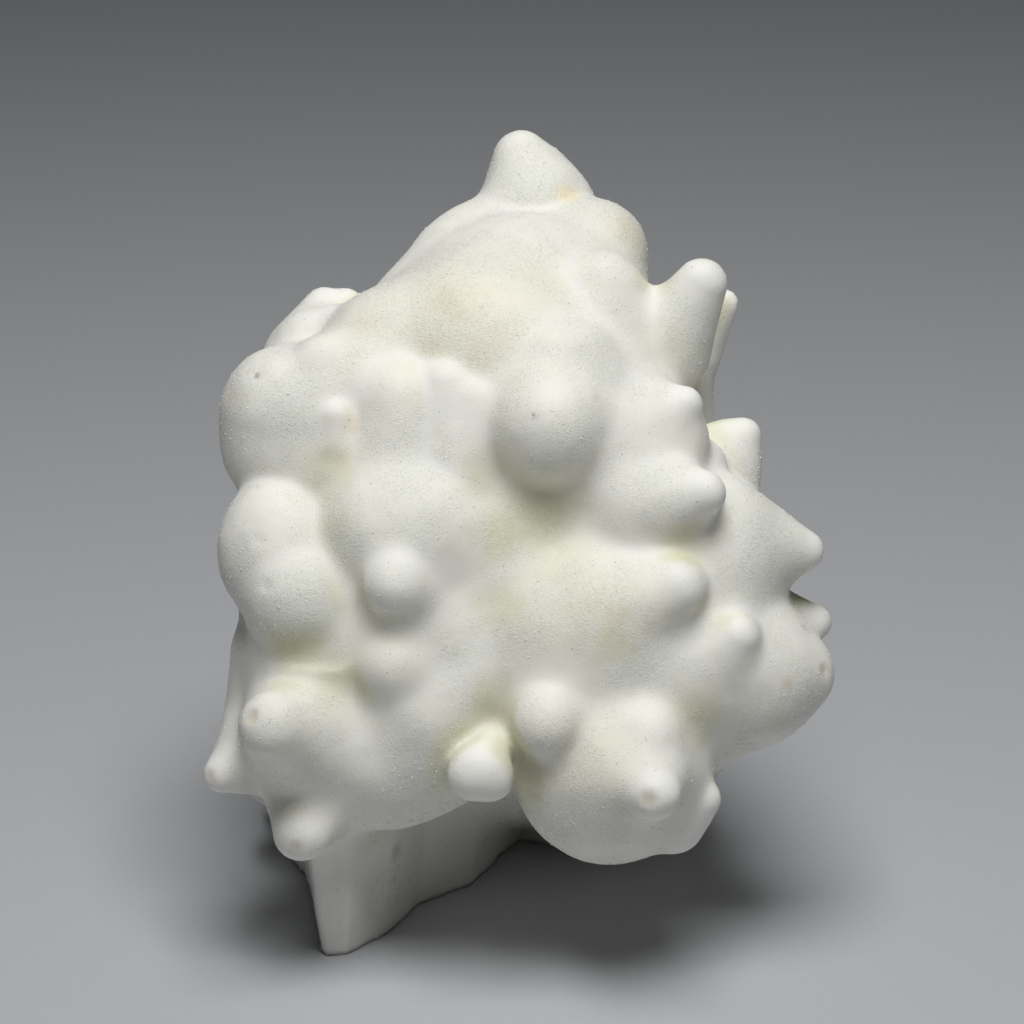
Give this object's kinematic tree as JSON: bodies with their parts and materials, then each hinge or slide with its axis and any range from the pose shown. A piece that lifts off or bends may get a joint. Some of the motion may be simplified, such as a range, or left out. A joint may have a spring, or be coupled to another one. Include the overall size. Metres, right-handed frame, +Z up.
{
  "type": "flos ferri aragonite specimen",
  "caption": "Knobbly lump of white aragonite with blunt knobs, ears and a crown, resting on its flat-cut broken root.",
  "frame": {"origin": "middle of the flat-cut root, on the ground", "axes": "+Z up, the knobbly face looks towards -Y and leans back, +X to its right"},
  "size_m": [0.08, 0.0749, 0.0976],
  "materials": {
    "aragonite": "satin, fine-grained, slightly translucent white with olive valleys and faint tan stains"
  },
  "bodies": {
    "root": {"flos_ferri": "aragonite"}
  },
  "joints": []
}
